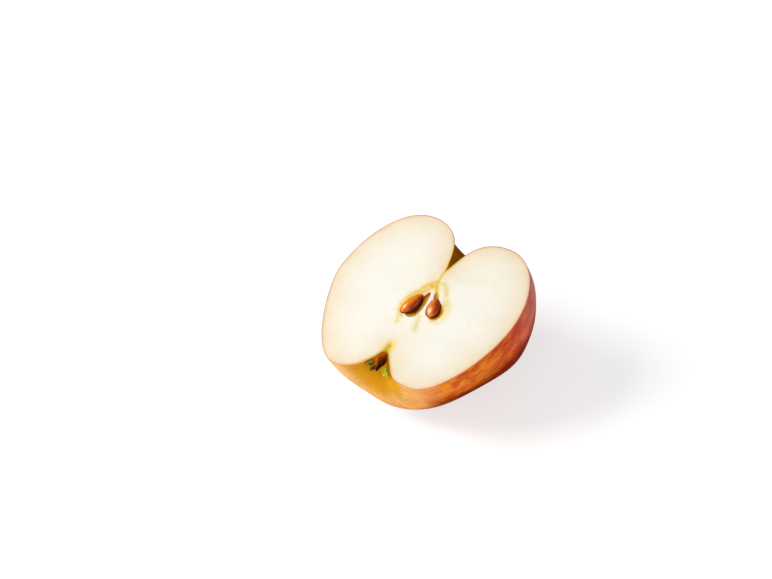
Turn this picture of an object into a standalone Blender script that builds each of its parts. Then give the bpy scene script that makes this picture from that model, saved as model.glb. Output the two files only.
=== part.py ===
"""Half of a round pome fruit, cut from the stem cavity to the calyx and lying on its skin.

The fruit has its own frame: x runs across the cut face, y points from the calyx to the stem
and z points out of the face, so the flesh lies below z = 0. An empty tilts that frame to the
angle at which the half comes to rest, and puts the middle of its underside at the origin.
"""

import math
from dataclasses import dataclass

import bmesh
import bpy
import numpy as np
from mathutils import Euler

MM = 0.001

# The whole fruit, in millimetres: width of the cut face is left girth plus right girth
PIT_HEIGHT = 13.0
TUBE_TIP = (0.0, -17.9)
TUBE_RADIUS = 1.1
BACK_DEPTH = 0.97
BACK_SHOULDER_DROP = 4.0
# On the left this share of the drop is reached close behind the cut, the rest toward the back
EARLY_DROP_SHARE = 0.5
EARLY_DROP_SINE = 0.42
BACK_CREST_DROP = 0.6
CALYX_RIB = 0.3
RIB_COUNT = 5
RIB_PHASE = math.radians(-90.0)

# The right cheek is a little flat: by this share of its radius, at this angle and height
CHEEK_FLAT = 0.045
CHEEK_FLAT_ANGLE = math.radians(47.0)
CHEEK_FLAT_SPREAD = math.radians(24.0)
CHEEK_FLAT_HEIGHT = -17.0
CHEEK_FLAT_REACH = 12.0
REST_TILT = math.radians(17.0)
FLAT_SPOT_DEPTH = 0.5

# How finely the skin is divided
COLUMNS = 44
CAVITY_ROWS = 8
SHOULDER_ROWS = 9
CHEEK_ROWS = 9
BASIN_ROWS = 8
TUBE_ROWS = 3


@dataclass(frozen=True)
class SideOutline:
    """One side of the cut outline: anchors as (distance from the axis, height) and handle shares."""

    shoulder: tuple
    girth: tuple
    crest: tuple
    mouth: tuple
    cavity_wall: float
    shoulder_inner: float
    shoulder_outer: float
    cheek_upper: float
    cheek_lower: float
    crest_outer: float
    crest_inner: float
    basin_wall: float


LEFT_SIDE = SideOutline(
    shoulder=(17.9, 30.1),
    girth=(39.0, -0.2),
    crest=(15.9, -32.7),
    mouth=(1.5, -22.6),
    cavity_wall=0.18,
    shoulder_inner=0.90,
    shoulder_outer=0.59,
    cheek_upper=0.54,
    cheek_lower=0.20,
    crest_outer=0.48,
    crest_inner=0.70,
    basin_wall=0.10,
)
RIGHT_SIDE = SideOutline(
    shoulder=(17.2, 29.2),
    girth=(37.0, 3.9),
    crest=(16.4, -30.0),
    mouth=(1.7, -22.5),
    cavity_wall=0.33,
    shoulder_inner=0.85,
    shoulder_outer=0.50,
    cheek_upper=0.59,
    cheek_lower=0.41,
    crest_outer=0.52,
    crest_inner=0.57,
    basin_wall=0.95,
)

# A wall's handle near the axis moves out by this share of the way to the shoulder or the crest
CAVITY_LEAN = 0.34
BASIN_LEAN = 0.50


@dataclass(frozen=True)
class Drop:
    """A teardrop body lying in the cut face: size, place and turn of a seed or its cell."""

    length: float
    width: float
    thickness: float
    centre: tuple
    turn: float
    roll: float = 0.0


SEEDS = {
    "seed_left": Drop(9.2, 4.65, 4.0, (-3.5, -2.08, -0.5), 70.9),
    "seed_right": Drop(7.6, 4.7, 3.5, (5.05, -0.46, -0.55), 110.2, -6.3),
}
# Each seed lies in a close nest, beside which its cell opens in a shallow bowl with a narrow tip
CELLS = {
    "nest_left": Drop(10.1, 5.6, 4.9, (-3.5, -2.08, -0.5), 70.9),
    "bowl_left": Drop(11.9, 7.2, 6.3, (-1.18, -1.69, 1.52), 80.2),
    "tip_left": Drop(13.4, 3.9, 6.0, (0.08, -0.40, 1.55), 90.0),
    "nest_right": Drop(8.5, 5.6, 4.4, (5.05, -0.46, -0.55), 110.2, -6.3),
    "bowl_right": Drop(9.2, 6.8, 5.2, (6.85, -0.95, 1.39), 108.5),
    "tip_right": Drop(5.4, 2.9, 5.3, (3.03, 3.92, 1.74), 124.0),
}
SEED_SIDES = 18
SEED_RINGS = 11
CELL_SIDES = 24
CELL_RINGS = 13
BLUNT_POWER = 0.46
TIP_POWER = 0.72


@dataclass(frozen=True)
class Leaf:
    """A dried sepal: its turn about the stem axis, its run down the basin, width, curl and twist."""

    around: float
    root: tuple
    tip: tuple
    width: float
    bow: float
    wave: float
    twist: float


SEPALS = {
    "sepal_left": Leaf(171.0, (2.1, -26.6), (4.6, -28.2), 2.0, 0.15, 0.20, 0.0),
    "sepal_back": Leaf(136.0, (2.3, -27.1), (3.7, -28.9), 1.4, 0.20, 0.15, 0.0),
    "sepal_right": Leaf(31.0, (3.0, -26.6), (5.5, -28.4), 3.2, 0.20, 0.25, -45.0),
}
SEPAL_THICKNESS = 0.4
SEPAL_LENGTHWISE = 8
SEPAL_ACROSS = 4

# The dried stamens in the calyx mouth, as (height, radius, sideways shift) down the axis
TUFT_RINGS = (
    (-22.0, 0.5, 0.1),
    (-22.6, 0.9, 0.1),
    (-23.3, 1.2, 0.2),
    (-24.2, 1.65, 0.4),
    (-25.0, 1.8, 0.5),
    (-25.8, 1.65, 0.7),
    (-26.6, 1.1, 0.8),
    (-27.6, 0.85, 0.9),
    (-28.5, 0.75, 1.1),
    (-29.0, 0.4, 1.3),
)
TUFT_DEPTH = -0.3
TUFT_FLATNESS = 0.75
TUFT_SIDES = 21
TUFT_LOBES = 7
TUFT_LOBE_SHARE = 0.12

# The fruit's bed is cut by a block that reaches well past it
BED_SIZE = 0.12
BED_HEIGHT = 0.01


def clear_scene():
    """Remove what a new file holds."""
    for item in list(bpy.data.objects):
        bpy.data.objects.remove(item, do_unlink=True)


def material(name, colour, roughness):
    """A plain surface with the piece's colour."""
    surface = bpy.data.materials.new(name)
    surface.use_nodes = True
    shader = surface.node_tree.nodes["Principled BSDF"]
    shader.inputs["Base Color"].default_value = (*colour, 1.0)
    shader.inputs["Roughness"].default_value = roughness
    shader.inputs["Metallic"].default_value = 0.0
    return surface


def add_object(name, mesh, parent=None, surface=None):
    """Link a mesh as a named, smooth-shaded object."""
    item = bpy.data.objects.new(name, mesh)
    bpy.context.scene.collection.objects.link(item)
    item.parent = parent
    if surface is not None:
        mesh.materials.append(surface)
    mesh.shade_smooth()
    mesh.set_sharp_from_angle(angle=math.radians(40.0))
    return item


def finish_mesh(name, bm):
    """Turn the normals outward and write the mesh in metres."""
    bmesh.ops.recalc_face_normals(bm, faces=bm.faces)
    bmesh.ops.scale(bm, vec=(MM, MM, MM), verts=bm.verts)
    mesh = bpy.data.meshes.new(name)
    bm.to_mesh(mesh)
    bm.free()
    return mesh


def smooth_step(value):
    """Ease from 0 to 1."""
    held = np.clip(value, 0.0, 1.0)
    return held * held * (3.0 - 2.0 * held)


def curve_span(points, count, keep_first):
    """Points along one cubic curve given by its two ends and two handles."""
    start, first, second, end = (np.array(point) for point in points)
    t = np.linspace(0.0, 1.0, count + 1)[:, None]
    curve = (1 - t) ** 3 * start + 3 * (1 - t) ** 2 * t * first + 3 * (1 - t) * t ** 2 * second + t ** 3 * end
    return curve if keep_first else curve[1:]


def side_profile(side):
    """Distance from the axis and height from the stem pit round to the calyx tube's tip."""
    shoulder_r, shoulder_y = side.shoulder
    girth_r, girth_y = side.girth
    crest_r, crest_y = side.crest
    mouth_r, mouth_y = side.mouth
    cavity_handle = (
        side.cavity_wall * shoulder_r * CAVITY_LEAN,
        PIT_HEIGHT + side.cavity_wall * (shoulder_y - PIT_HEIGHT),
    )
    basin_handle = (
        mouth_r + side.basin_wall * BASIN_LEAN * (crest_r - mouth_r),
        mouth_y - side.basin_wall * (mouth_y - crest_y),
    )
    cavity = (
        (0.0, PIT_HEIGHT),
        cavity_handle,
        (shoulder_r * (1 - side.shoulder_inner), shoulder_y),
        side.shoulder,
    )
    shoulder = (
        side.shoulder,
        (shoulder_r + side.shoulder_outer * (girth_r - shoulder_r), shoulder_y),
        (girth_r, girth_y + side.cheek_upper * (shoulder_y - girth_y)),
        side.girth,
    )
    cheek = (
        side.girth,
        (girth_r, girth_y - side.cheek_lower * (girth_y - crest_y)),
        (crest_r + side.crest_outer * (girth_r - crest_r), crest_y),
        side.crest,
    )
    basin = (
        side.crest,
        (crest_r - side.crest_inner * (crest_r - mouth_r), crest_y),
        basin_handle,
        side.mouth,
    )
    tube = (
        side.mouth,
        (TUBE_RADIUS * 1.2, mouth_y + 1.0),
        (TUBE_RADIUS, TUBE_TIP[1] - 1.0),
        (0.0, TUBE_TIP[1]),
    )
    return np.vstack([
        curve_span(cavity, CAVITY_ROWS, True),
        curve_span(shoulder, SHOULDER_ROWS, False),
        curve_span(cheek, CHEEK_ROWS, False),
        curve_span(basin, BASIN_ROWS, False),
        curve_span(tube, TUBE_ROWS, False),
    ])


def skin_grid():
    """Skin points by column, from the right edge of the cut round the back to the left edge."""
    right = side_profile(RIGHT_SIDE)
    left = side_profile(LEFT_SIDE)
    around = np.linspace(0.0, math.pi, COLUMNS + 1)
    share = ((1 + np.cos(around)) / 2)[:, None]
    radius = share * right[:, 0] + (1 - share) * left[:, 0]
    height = share * right[:, 1] + (1 - share) * left[:, 1]
    back = (np.sin(around) ** 2)[:, None]
    early = smooth_step(np.sin(around) / EARLY_DROP_SINE)[:, None]
    early = np.where(around[:, None] > math.pi / 2, early, back)
    sunk = EARLY_DROP_SHARE * early + (1 - EARLY_DROP_SHARE) * back
    height = height - BACK_SHOULDER_DROP * sunk * smooth_step((height - 5.0) / 25.0)
    beside = np.exp(-(((around - CHEEK_FLAT_ANGLE) / CHEEK_FLAT_SPREAD) ** 2))[:, None]
    level = np.exp(-(((height - CHEEK_FLAT_HEIGHT) / CHEEK_FLAT_REACH) ** 2))
    radius = radius * (1 - CHEEK_FLAT * beside * level)
    rib = CALYX_RIB * np.cos(RIB_COUNT * around + RIB_PHASE)[:, None]
    low = smooth_step((-16.0 - height) / 12.0) * smooth_step(radius / 12.0)
    height = height - (rib + BACK_CREST_DROP) * back * low
    across = radius * np.cos(around)[:, None]
    out = -radius * np.sin(around)[:, None] * BACK_DEPTH
    return np.stack([across, height, out], axis=-1)


def flesh_mesh(grid):
    """Close the skin with the flat cut face."""
    bm = bmesh.new()
    pit = bm.verts.new(grid[0, 0])
    tube = bm.verts.new((TUBE_TIP[0], TUBE_TIP[1], 0.0))
    columns = [[bm.verts.new(point) for point in column[1:-1]] for column in grid]
    for here, there in zip(columns, columns[1:]):
        bm.faces.new((pit, here[0], there[0]))
        bm.faces.new((tube, there[-1], here[-1]))
        for row in range(len(here) - 1):
            bm.faces.new((here[row], here[row + 1], there[row + 1], there[row]))
    bm.faces.new([pit] + columns[0] + [tube] + columns[-1][::-1])
    return finish_mesh("fruit_half", bm)


def drop_mesh(name, drop, sides, rings):
    """A closed teardrop, blunt at the lower end and pointed at the upper end of its x axis."""
    peak = BLUNT_POWER / (BLUNT_POWER + TIP_POWER)
    top = peak ** BLUNT_POWER * (1 - peak) ** TIP_POWER
    bm = bmesh.new()
    loops = []
    for ring in range(1, rings):
        along = (1 - math.cos(math.pi * ring / rings)) / 2
        half = along ** BLUNT_POWER * (1 - along) ** TIP_POWER / top / 2
        loop = []
        for side in range(sides):
            angle = 2 * math.pi * (side + 0.5) / sides
            place = ((along - 0.5) * drop.length, drop.width * half * math.cos(angle),
                     drop.thickness * half * math.sin(angle))
            loop.append(bm.verts.new(place))
        loops.append(loop)
    blunt = bm.verts.new((-drop.length / 2, 0.0, 0.0))
    tip = bm.verts.new((drop.length / 2, 0.0, 0.0))
    close_loops(bm, blunt, loops, tip)
    return finish_mesh(name, bm)


def close_loops(bm, first, loops, last):
    """Skin a row of vertex loops between two end points."""
    sides = len(loops[0])
    for side in range(sides):
        beside = (side + 1) % sides
        bm.faces.new((first, loops[0][beside], loops[0][side]))
        bm.faces.new((last, loops[-1][side], loops[-1][beside]))
        for here, there in zip(loops, loops[1:]):
            bm.faces.new((here[side], here[beside], there[beside], there[side]))


def place_drop(item, drop):
    """Lay a teardrop in the cut face."""
    item.location = [value * MM for value in drop.centre]
    item.rotation_euler = Euler((math.radians(drop.roll), 0.0, math.radians(drop.turn)), "XYZ")


def sepal_mesh(name, leaf):
    """A thin wavy leaf that hangs from the calyx mouth, split into triangles before it is thickened."""
    angle = math.radians(leaf.around)
    outward = np.array((math.cos(angle), 0.0, -math.sin(angle) * BACK_DEPTH))
    up = np.array((0.0, 1.0, 0.0))
    run = outward * (leaf.tip[0] - leaf.root[0]) + up * (leaf.tip[1] - leaf.root[1])
    level = np.array((math.sin(angle), 0.0, math.cos(angle)))
    across = np.cross(run / np.linalg.norm(run), level)
    twist = math.radians(leaf.twist)
    aside = level * math.cos(twist) + across * math.sin(twist)
    bm = bmesh.new()
    rows = []
    for step in range(SEPAL_LENGTHWISE + 1):
        s = step / SEPAL_LENGTHWISE
        reach = leaf.root[0] + (leaf.tip[0] - leaf.root[0]) * s
        fall = leaf.root[1] + (leaf.tip[1] - leaf.root[1]) * s - leaf.bow * math.sin(math.pi * s)
        half = leaf.width / 2 * (0.55 + 0.9 * s) * (1 - s ** 2) + 0.18
        row = []
        for cross in range(SEPAL_ACROSS + 1):
            c = 2 * cross / SEPAL_ACROSS - 1
            lift = leaf.wave * math.sin(2.6 * math.pi * s + 1.3 * c) - 0.35 * c * c * leaf.width * (1 - s) / 3
            point = outward * (reach + lift * 0.6) + up * (fall + lift * 0.5) + aside * (c * half)
            row.append(bm.verts.new(point))
        rows.append(row)
    for here, there in zip(rows, rows[1:]):
        for cross in range(SEPAL_ACROSS):
            bm.faces.new((here[cross], here[cross + 1], there[cross + 1], there[cross]))
    bmesh.ops.triangulate(bm, faces=bm.faces)
    return finish_mesh(name, bm)


def tuft_mesh(name):
    """The dried stamens as one lobed lump with a drooping end."""
    bm = bmesh.new()
    loops = []
    for height, radius, shift in TUFT_RINGS:
        loop = []
        for side in range(TUFT_SIDES):
            angle = 2 * math.pi * side / TUFT_SIDES
            lobed = radius * (1 + TUFT_LOBE_SHARE * math.cos(TUFT_LOBES * angle))
            deep = TUFT_DEPTH + TUFT_FLATNESS * lobed * math.sin(angle)
            place = (shift + lobed * math.cos(angle), height, deep)
            loop.append(bm.verts.new(place))
        loops.append(loop)
    top = bm.verts.new((TUFT_RINGS[0][2], TUFT_RINGS[0][0] + 0.3, TUFT_DEPTH))
    foot = bm.verts.new((TUFT_RINGS[-1][2], TUFT_RINGS[-1][0] - 0.3, TUFT_DEPTH))
    close_loops(bm, top, loops, foot)
    return finish_mesh(name, bm)


def rest_frame(grid):
    """An empty that tilts the fruit and sets the middle of its underside on the origin."""
    points = grid.reshape(-1, 3) * MM
    cosine = math.cos(REST_TILT)
    sine = math.sin(REST_TILT)
    along = points[:, 1] * cosine - points[:, 2] * sine
    up = points[:, 1] * sine + points[:, 2] * cosine
    frame = bpy.data.objects.new("rest_frame", None)
    bpy.context.scene.collection.objects.link(frame)
    frame.rotation_euler = (REST_TILT, 0.0, 0.0)
    frame.location = (
        -(points[:, 0].min() + points[:, 0].max()) / 2,
        -(along.min() + along.max()) / 2,
        -up.min() - FLAT_SPOT_DEPTH * MM,
    )
    return frame


def bed_cutter():
    """A block under the floor level, which cuts the flat spot that the half lies on."""
    bm = bmesh.new()
    bmesh.ops.create_cube(bm, size=1.0)
    bmesh.ops.scale(bm, vec=(BED_SIZE, BED_SIZE, BED_HEIGHT), verts=bm.verts)
    bmesh.ops.translate(bm, vec=(0.0, 0.0, -BED_HEIGHT / 2), verts=bm.verts)
    mesh = bpy.data.meshes.new("bed_cutter")
    bm.to_mesh(mesh)
    bm.free()
    return add_object("bed_cutter", mesh)


def cut_away(item, cutter):
    """Take a hidden cutter out of an object."""
    cutter.hide_render = True
    cutter.display_type = "WIRE"
    cut = item.modifiers.new(cutter.name, "BOOLEAN")
    cut.operation = "DIFFERENCE"
    cut.solver = "EXACT"
    cut.object = cutter


def build():
    """Make the half, its seeds and what is left of the flower."""
    clear_scene()
    grid = skin_grid()
    frame = rest_frame(grid)
    skin = material("flesh_and_skin", (0.90, 0.80, 0.58), 0.5)
    seed_coat = material("seed_coat", (0.22, 0.05, 0.01), 0.25)
    dried_leaf = material("dried_sepal", (0.30, 0.27, 0.08), 0.8)
    dried_stamen = material("dried_stamen", (0.06, 0.02, 0.008), 0.85)

    half = add_object("fruit_half", flesh_mesh(grid), frame, skin)
    for name, drop in CELLS.items():
        cell = add_object(name, drop_mesh(name, drop, CELL_SIDES, CELL_RINGS), frame)
        place_drop(cell, drop)
        cut_away(half, cell)
    cut_away(half, bed_cutter())

    for name, drop in SEEDS.items():
        seed = add_object(name, drop_mesh(name, drop, SEED_SIDES, SEED_RINGS), frame, seed_coat)
        place_drop(seed, drop)
    for name, leaf in SEPALS.items():
        sepal = add_object(name, sepal_mesh(name, leaf), frame, dried_leaf)
        thick = sepal.modifiers.new("thickness", "SOLIDIFY")
        thick.thickness = SEPAL_THICKNESS * MM
        thick.offset = 0.0
    add_object("stamen_tuft", tuft_mesh("stamen_tuft"), frame, dried_stamen)


build()
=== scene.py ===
"""Looks of half a pome fruit lying on its skin: cut flesh, open seed cells, peel and dried flower.

Shapes are worked out in the fruit's own frame and in millimetres: x runs across the cut face,
y from the calyx to the stem cavity and z out of the face, so the flesh lies below z = 0. One
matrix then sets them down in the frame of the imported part.
"""

from __future__ import annotations

import logging
import math
from dataclasses import dataclass
from enum import Enum

import bpy
import numpy as np
from mathutils import Matrix, Vector
from mathutils.kdtree import KDTree

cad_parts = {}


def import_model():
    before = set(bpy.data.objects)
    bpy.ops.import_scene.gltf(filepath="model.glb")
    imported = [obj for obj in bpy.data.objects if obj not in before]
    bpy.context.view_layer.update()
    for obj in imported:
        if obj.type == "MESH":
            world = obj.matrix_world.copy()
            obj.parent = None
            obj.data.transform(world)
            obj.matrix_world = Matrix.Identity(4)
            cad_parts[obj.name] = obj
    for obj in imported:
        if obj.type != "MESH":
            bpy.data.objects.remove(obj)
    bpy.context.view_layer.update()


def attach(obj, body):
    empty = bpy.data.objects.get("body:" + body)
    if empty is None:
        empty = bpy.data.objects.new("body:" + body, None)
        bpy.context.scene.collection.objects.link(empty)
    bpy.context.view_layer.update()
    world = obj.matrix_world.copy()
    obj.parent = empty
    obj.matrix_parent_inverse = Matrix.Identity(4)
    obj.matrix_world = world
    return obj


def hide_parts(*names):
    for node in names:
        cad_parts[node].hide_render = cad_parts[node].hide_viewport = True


LOG = logging.getLogger("fruit_half")
MM = 0.001
BODY = "root"

# Sockets of Blender's Mix node, in its colour form and in its number form
MIX_FACTOR = 0
MIX_A = 6
MIX_B = 7
MIX_RESULT = 2
MIX_NUMBER_A = 2
MIX_NUMBER_B = 3
MIX_NUMBER_RESULT = 0


class Slot(Enum):
    """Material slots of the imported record."""

    FLESH = "flesh"
    PEEL = "peel"
    SEED_COAT = "seed_coat"
    SEPAL = "dried_sepal"
    STAMEN = "dried_stamen"


def linear(hex_colour: str) -> tuple[float, float, float, float]:
    """Turn an sRGB hex colour into the linear colour that the shaders take.

    Args:
        hex_colour: six hex digits with a leading hash.

    Returns:
        Red, green, blue and alpha.
    """
    parts = [int(hex_colour[start:start + 2], 16) / 255 for start in (1, 3, 5)]
    red, green, blue = [v / 12.92 if v <= 0.04045 else ((v + 0.055) / 1.055) ** 2.4 for v in parts]
    return (red, green, blue, 1.0)


def feed(tree: bpy.types.NodeTree, node: bpy.types.Node, inputs: dict) -> None:
    """Set or link a node's inputs.

    Args:
        tree: the material's node tree.
        node: the node.
        inputs: socket name or number to a value, or to the output socket to link from.
    """
    for key, value in inputs.items():
        if isinstance(value, bpy.types.NodeSocket):
            tree.links.new(value, node.inputs[key])
        else:
            node.inputs[key].default_value = value


def add_node(tree: bpy.types.NodeTree, kind: str, inputs: dict | None = None, stops: tuple = (),
             **settings: object) -> bpy.types.Node:
    """Add a node with its settings, and set or link its inputs.

    Args:
        tree: the material's node tree.
        kind: Blender's name of the node type.
        inputs: socket name or number to a value, or to the output socket to link from.
        stops: position and hex colour of each stop, for a node with a colour ramp.
        **settings: attributes of the node.

    Returns:
        The new node.
    """
    node = tree.nodes.new(kind)
    for key, value in settings.items():
        setattr(node, key, value)
    feed(tree, node, inputs or {})
    for place, (position, colour) in enumerate(stops):
        elements = node.color_ramp.elements
        stop = elements[place] if place < 2 else elements.new(position)
        stop.position = position
        stop.color = linear(colour)
    return node


def start_finish(name: str) -> tuple[bpy.types.Material, bpy.types.NodeTree, bpy.types.Node]:
    """Start a material.

    Args:
        name: the finish's name.

    Returns:
        The material, its node tree and its surface shader.
    """
    material = bpy.data.materials.new(name)
    material.use_nodes = True
    tree = material.node_tree
    return material, tree, tree.nodes["Principled BSDF"]


def broken_mask(tree: bpy.types.NodeTree, name: str, grain: bpy.types.NodeSocket,
                span: tuple[float, float], levels: tuple[float, float]) -> bpy.types.NodeSocket:
    """Break up one of the piece's surface values with noise.

    Args:
        tree: the material's node tree.
        name: the surface value.
        grain: the noise.
        span: the two noise values between which the break-up runs.
        levels: the share of the surface value that is left at each of them.

    Returns:
        The socket with the broken value.
    """
    mask = add_node(tree, "ShaderNodeAttribute", attribute_name=name)
    left = add_node(tree, "ShaderNodeMapRange", {
        "Value": grain, "From Min": span[0], "From Max": span[1], "To Min": levels[0], "To Max": levels[1]})
    share = add_node(tree, "ShaderNodeMath", {
        0: mask.outputs["Fac"], 1: left.outputs["Result"]}, operation="MULTIPLY", use_clamp=True)
    return share.outputs[0]


def lay_coats(tree: bpy.types.NodeTree, ground: object,
              coats: list[tuple[bpy.types.NodeSocket, object]]) -> bpy.types.NodeSocket:
    """Lay coats of colour over a ground, one after the other.

    Args:
        tree: the material's node tree.
        ground: the lowest colour, as a value or a socket.
        coats: for each coat, the share of it that shows and its colour.

    Returns:
        The socket with the finished colour.
    """
    colour = ground
    for share, tint in coats:
        mix = add_node(tree, "ShaderNodeMix", {
            MIX_FACTOR: share, MIX_A: colour, MIX_B: tint}, data_type="RGBA")
        colour = mix.outputs[MIX_RESULT]
    return colour


def smooth_step(value: np.ndarray, low: float = 0.0, high: float = 1.0) -> np.ndarray:
    """Ease from 0 at low to 1 at high.

    Args:
        value: any array.
        low: where the ease starts.
        high: where it ends.

    Returns:
        Values from 0 to 1.
    """
    held = np.clip((value - low) / (high - low), 0.0, 1.0)
    return held * held * (3.0 - 2.0 * held)


def band(value: np.ndarray, rise: tuple[float, float], fall: tuple[float, float]) -> np.ndarray:
    """Rise from 0 to 1 over one stretch and fall back to 0 over another.

    Args:
        value: any array.
        rise: where the rise starts and ends.
        fall: where the fall starts and ends.

    Returns:
        Values from 0 to 1.
    """
    return smooth_step(value, *rise) * smooth_step(-value, -fall[1], -fall[0])


def waves(points: np.ndarray, length: float, count: int, seed: int) -> np.ndarray:
    """Smooth unevenness: a sum of plane waves in seeded directions.

    Args:
        points: places in millimetres, one row each.
        length: typical wavelength in millimetres.
        count: how many waves are added.
        seed: seed of the random draw.

    Returns:
        One value for each point, mostly within -1 to 1.
    """
    draw = np.random.default_rng(seed)
    total = np.zeros(len(points))
    for _ in range(count):
        direction = draw.normal(size=points.shape[1])
        direction /= np.linalg.norm(direction)
        pace = 2 * math.pi / (length * draw.uniform(0.7, 1.4))
        total += np.sin(points @ direction * pace + draw.uniform(0.0, 2 * math.pi))
    return total / math.sqrt(count)


@dataclass(frozen=True)
class SideOutline:
    """One side of the cut outline: anchors as (distance from the axis, height) and handle shares."""

    shoulder: tuple[float, float]
    girth: tuple[float, float]
    crest: tuple[float, float]
    mouth: tuple[float, float]
    cavity_wall: float
    shoulder_inner: float
    shoulder_outer: float
    cheek_upper: float
    cheek_lower: float
    crest_outer: float
    crest_inner: float
    basin_wall: float


@dataclass
class MeshDraft:
    """Vertices, faces and named surface values of one piece, in the fruit's frame."""

    points: list[np.ndarray]
    faces: list[tuple[int, ...]]

    @classmethod
    def empty(cls) -> MeshDraft:
        """A draft with nothing in it."""
        return cls([], [])

    def add_points(self, points: np.ndarray) -> np.ndarray:
        """Add points of any grid shape.

        Args:
            points: places in millimetres, with x, y, z on the last axis.

        Returns:
            Their vertex numbers, in the grid's shape.
        """
        start = sum(len(block) for block in self.points)
        flat = np.asarray(points, dtype=float).reshape(-1, 3)
        self.points.append(flat)
        return np.arange(start, start + len(flat)).reshape(np.shape(points)[:-1])

    def add_grid(self, numbers: np.ndarray, flip: bool = False) -> None:
        """Span a grid of vertex numbers with four-sided faces.

        Args:
            numbers: a two-way grid of vertex numbers.
            flip: turn the faces over.
        """
        corners = (numbers[:-1, :-1], numbers[1:, :-1], numbers[1:, 1:], numbers[:-1, 1:])
        quads = np.stack([corner.ravel() for corner in corners], axis=1)
        self.faces.extend(map(tuple, (quads[:, ::-1] if flip else quads).tolist()))

    def add_fan(self, centre: int, ring: np.ndarray, flip: bool = False) -> None:
        """Span the space between one vertex and an open row of vertices.

        Args:
            centre: the vertex number at the point of the fan.
            ring: vertex numbers in order.
            flip: turn the faces over.
        """
        for here, there in zip(ring[:-1].tolist(), ring[1:].tolist()):
            self.faces.append((centre, there, here) if flip else (centre, here, there))

    def add_tube(self, loops: np.ndarray, ends: np.ndarray) -> None:
        """Skin a row of vertex loops and close both ends.

        Args:
            loops: places in millimetres, one row a loop.
            ends: the place in the middle of the first end and of the last.
        """
        numbers = self.add_points(loops)
        first, last = self.add_points(ends).tolist()
        closed = np.hstack([numbers, numbers[:, :1]])
        self.add_grid(closed)
        self.add_fan(first, closed[0], flip=True)
        self.add_fan(last, closed[-1])

    def add_half_skin(self, grid: np.ndarray, flip: bool = False) -> np.ndarray:
        """Add a half skin whose columns all start at the stem pit and end at the calyx.

        Args:
            grid: places in millimetres, one row a column of the skin.
            flip: turn the faces over.

        Returns:
            Vertex numbers round its rim in the cut plane.
        """
        numbers = self.add_points(grid[:, 1:-1])
        pit = int(self.add_points(grid[0, :1])[0])
        cap = int(self.add_points(grid[0, -1:])[0])
        self.add_grid(numbers, flip)
        self.add_fan(pit, numbers[:, 0], flip=not flip)
        self.add_fan(cap, numbers[:, -1], flip=flip)
        return np.concatenate([[pit], numbers[0], [cap], numbers[-1][::-1]])

    def all_points(self) -> np.ndarray:
        """Every point so far, one row each."""
        return np.vstack(self.points)

    def build(self, name: str, matrix: Matrix, lowest: float, values: dict[str, np.ndarray],
              sharp: float = 40.0) -> bpy.types.Object:
        """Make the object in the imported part's frame.

        Args:
            name: the piece's name.
            matrix: from the fruit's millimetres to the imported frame.
            lowest: height in metres that no vertex goes below.
            values: a number for each vertex, by name, for the shaders.
            sharp: edges that turn by more than this many degrees stay sharp.

        Returns:
            The new object.
        """
        turn = np.array(matrix)
        places = self.all_points() @ turn[:3, :3].T + turn[:3, 3]
        places[:, 2] = np.maximum(places[:, 2], lowest)
        mesh = bpy.data.meshes.new(name)
        mesh.from_pydata(places.tolist(), [], self.faces)
        for key, numbers in values.items():
            layer = mesh.attributes.new(key, "FLOAT", "POINT")
            layer.data.foreach_set("value", np.asarray(numbers, dtype=np.float32))
        mesh.shade_smooth()
        mesh.set_sharp_from_angle(angle=math.radians(sharp))
        item = bpy.data.objects.new(name, mesh)
        bpy.context.scene.collection.objects.link(item)
        return item


def hand_over(piece: bpy.types.Object, slot: Slot, material: bpy.types.Material, *nodes: str) -> None:
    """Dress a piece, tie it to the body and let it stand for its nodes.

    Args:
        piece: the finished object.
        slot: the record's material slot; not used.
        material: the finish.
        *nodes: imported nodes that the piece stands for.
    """
    piece.data.materials.append(material)
    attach(piece, BODY)
    if nodes:
        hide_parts(*nodes)
    LOG.info("%s: %d vertices, %d faces", piece.name, len(piece.data.vertices), len(piece.data.polygons))


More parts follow.
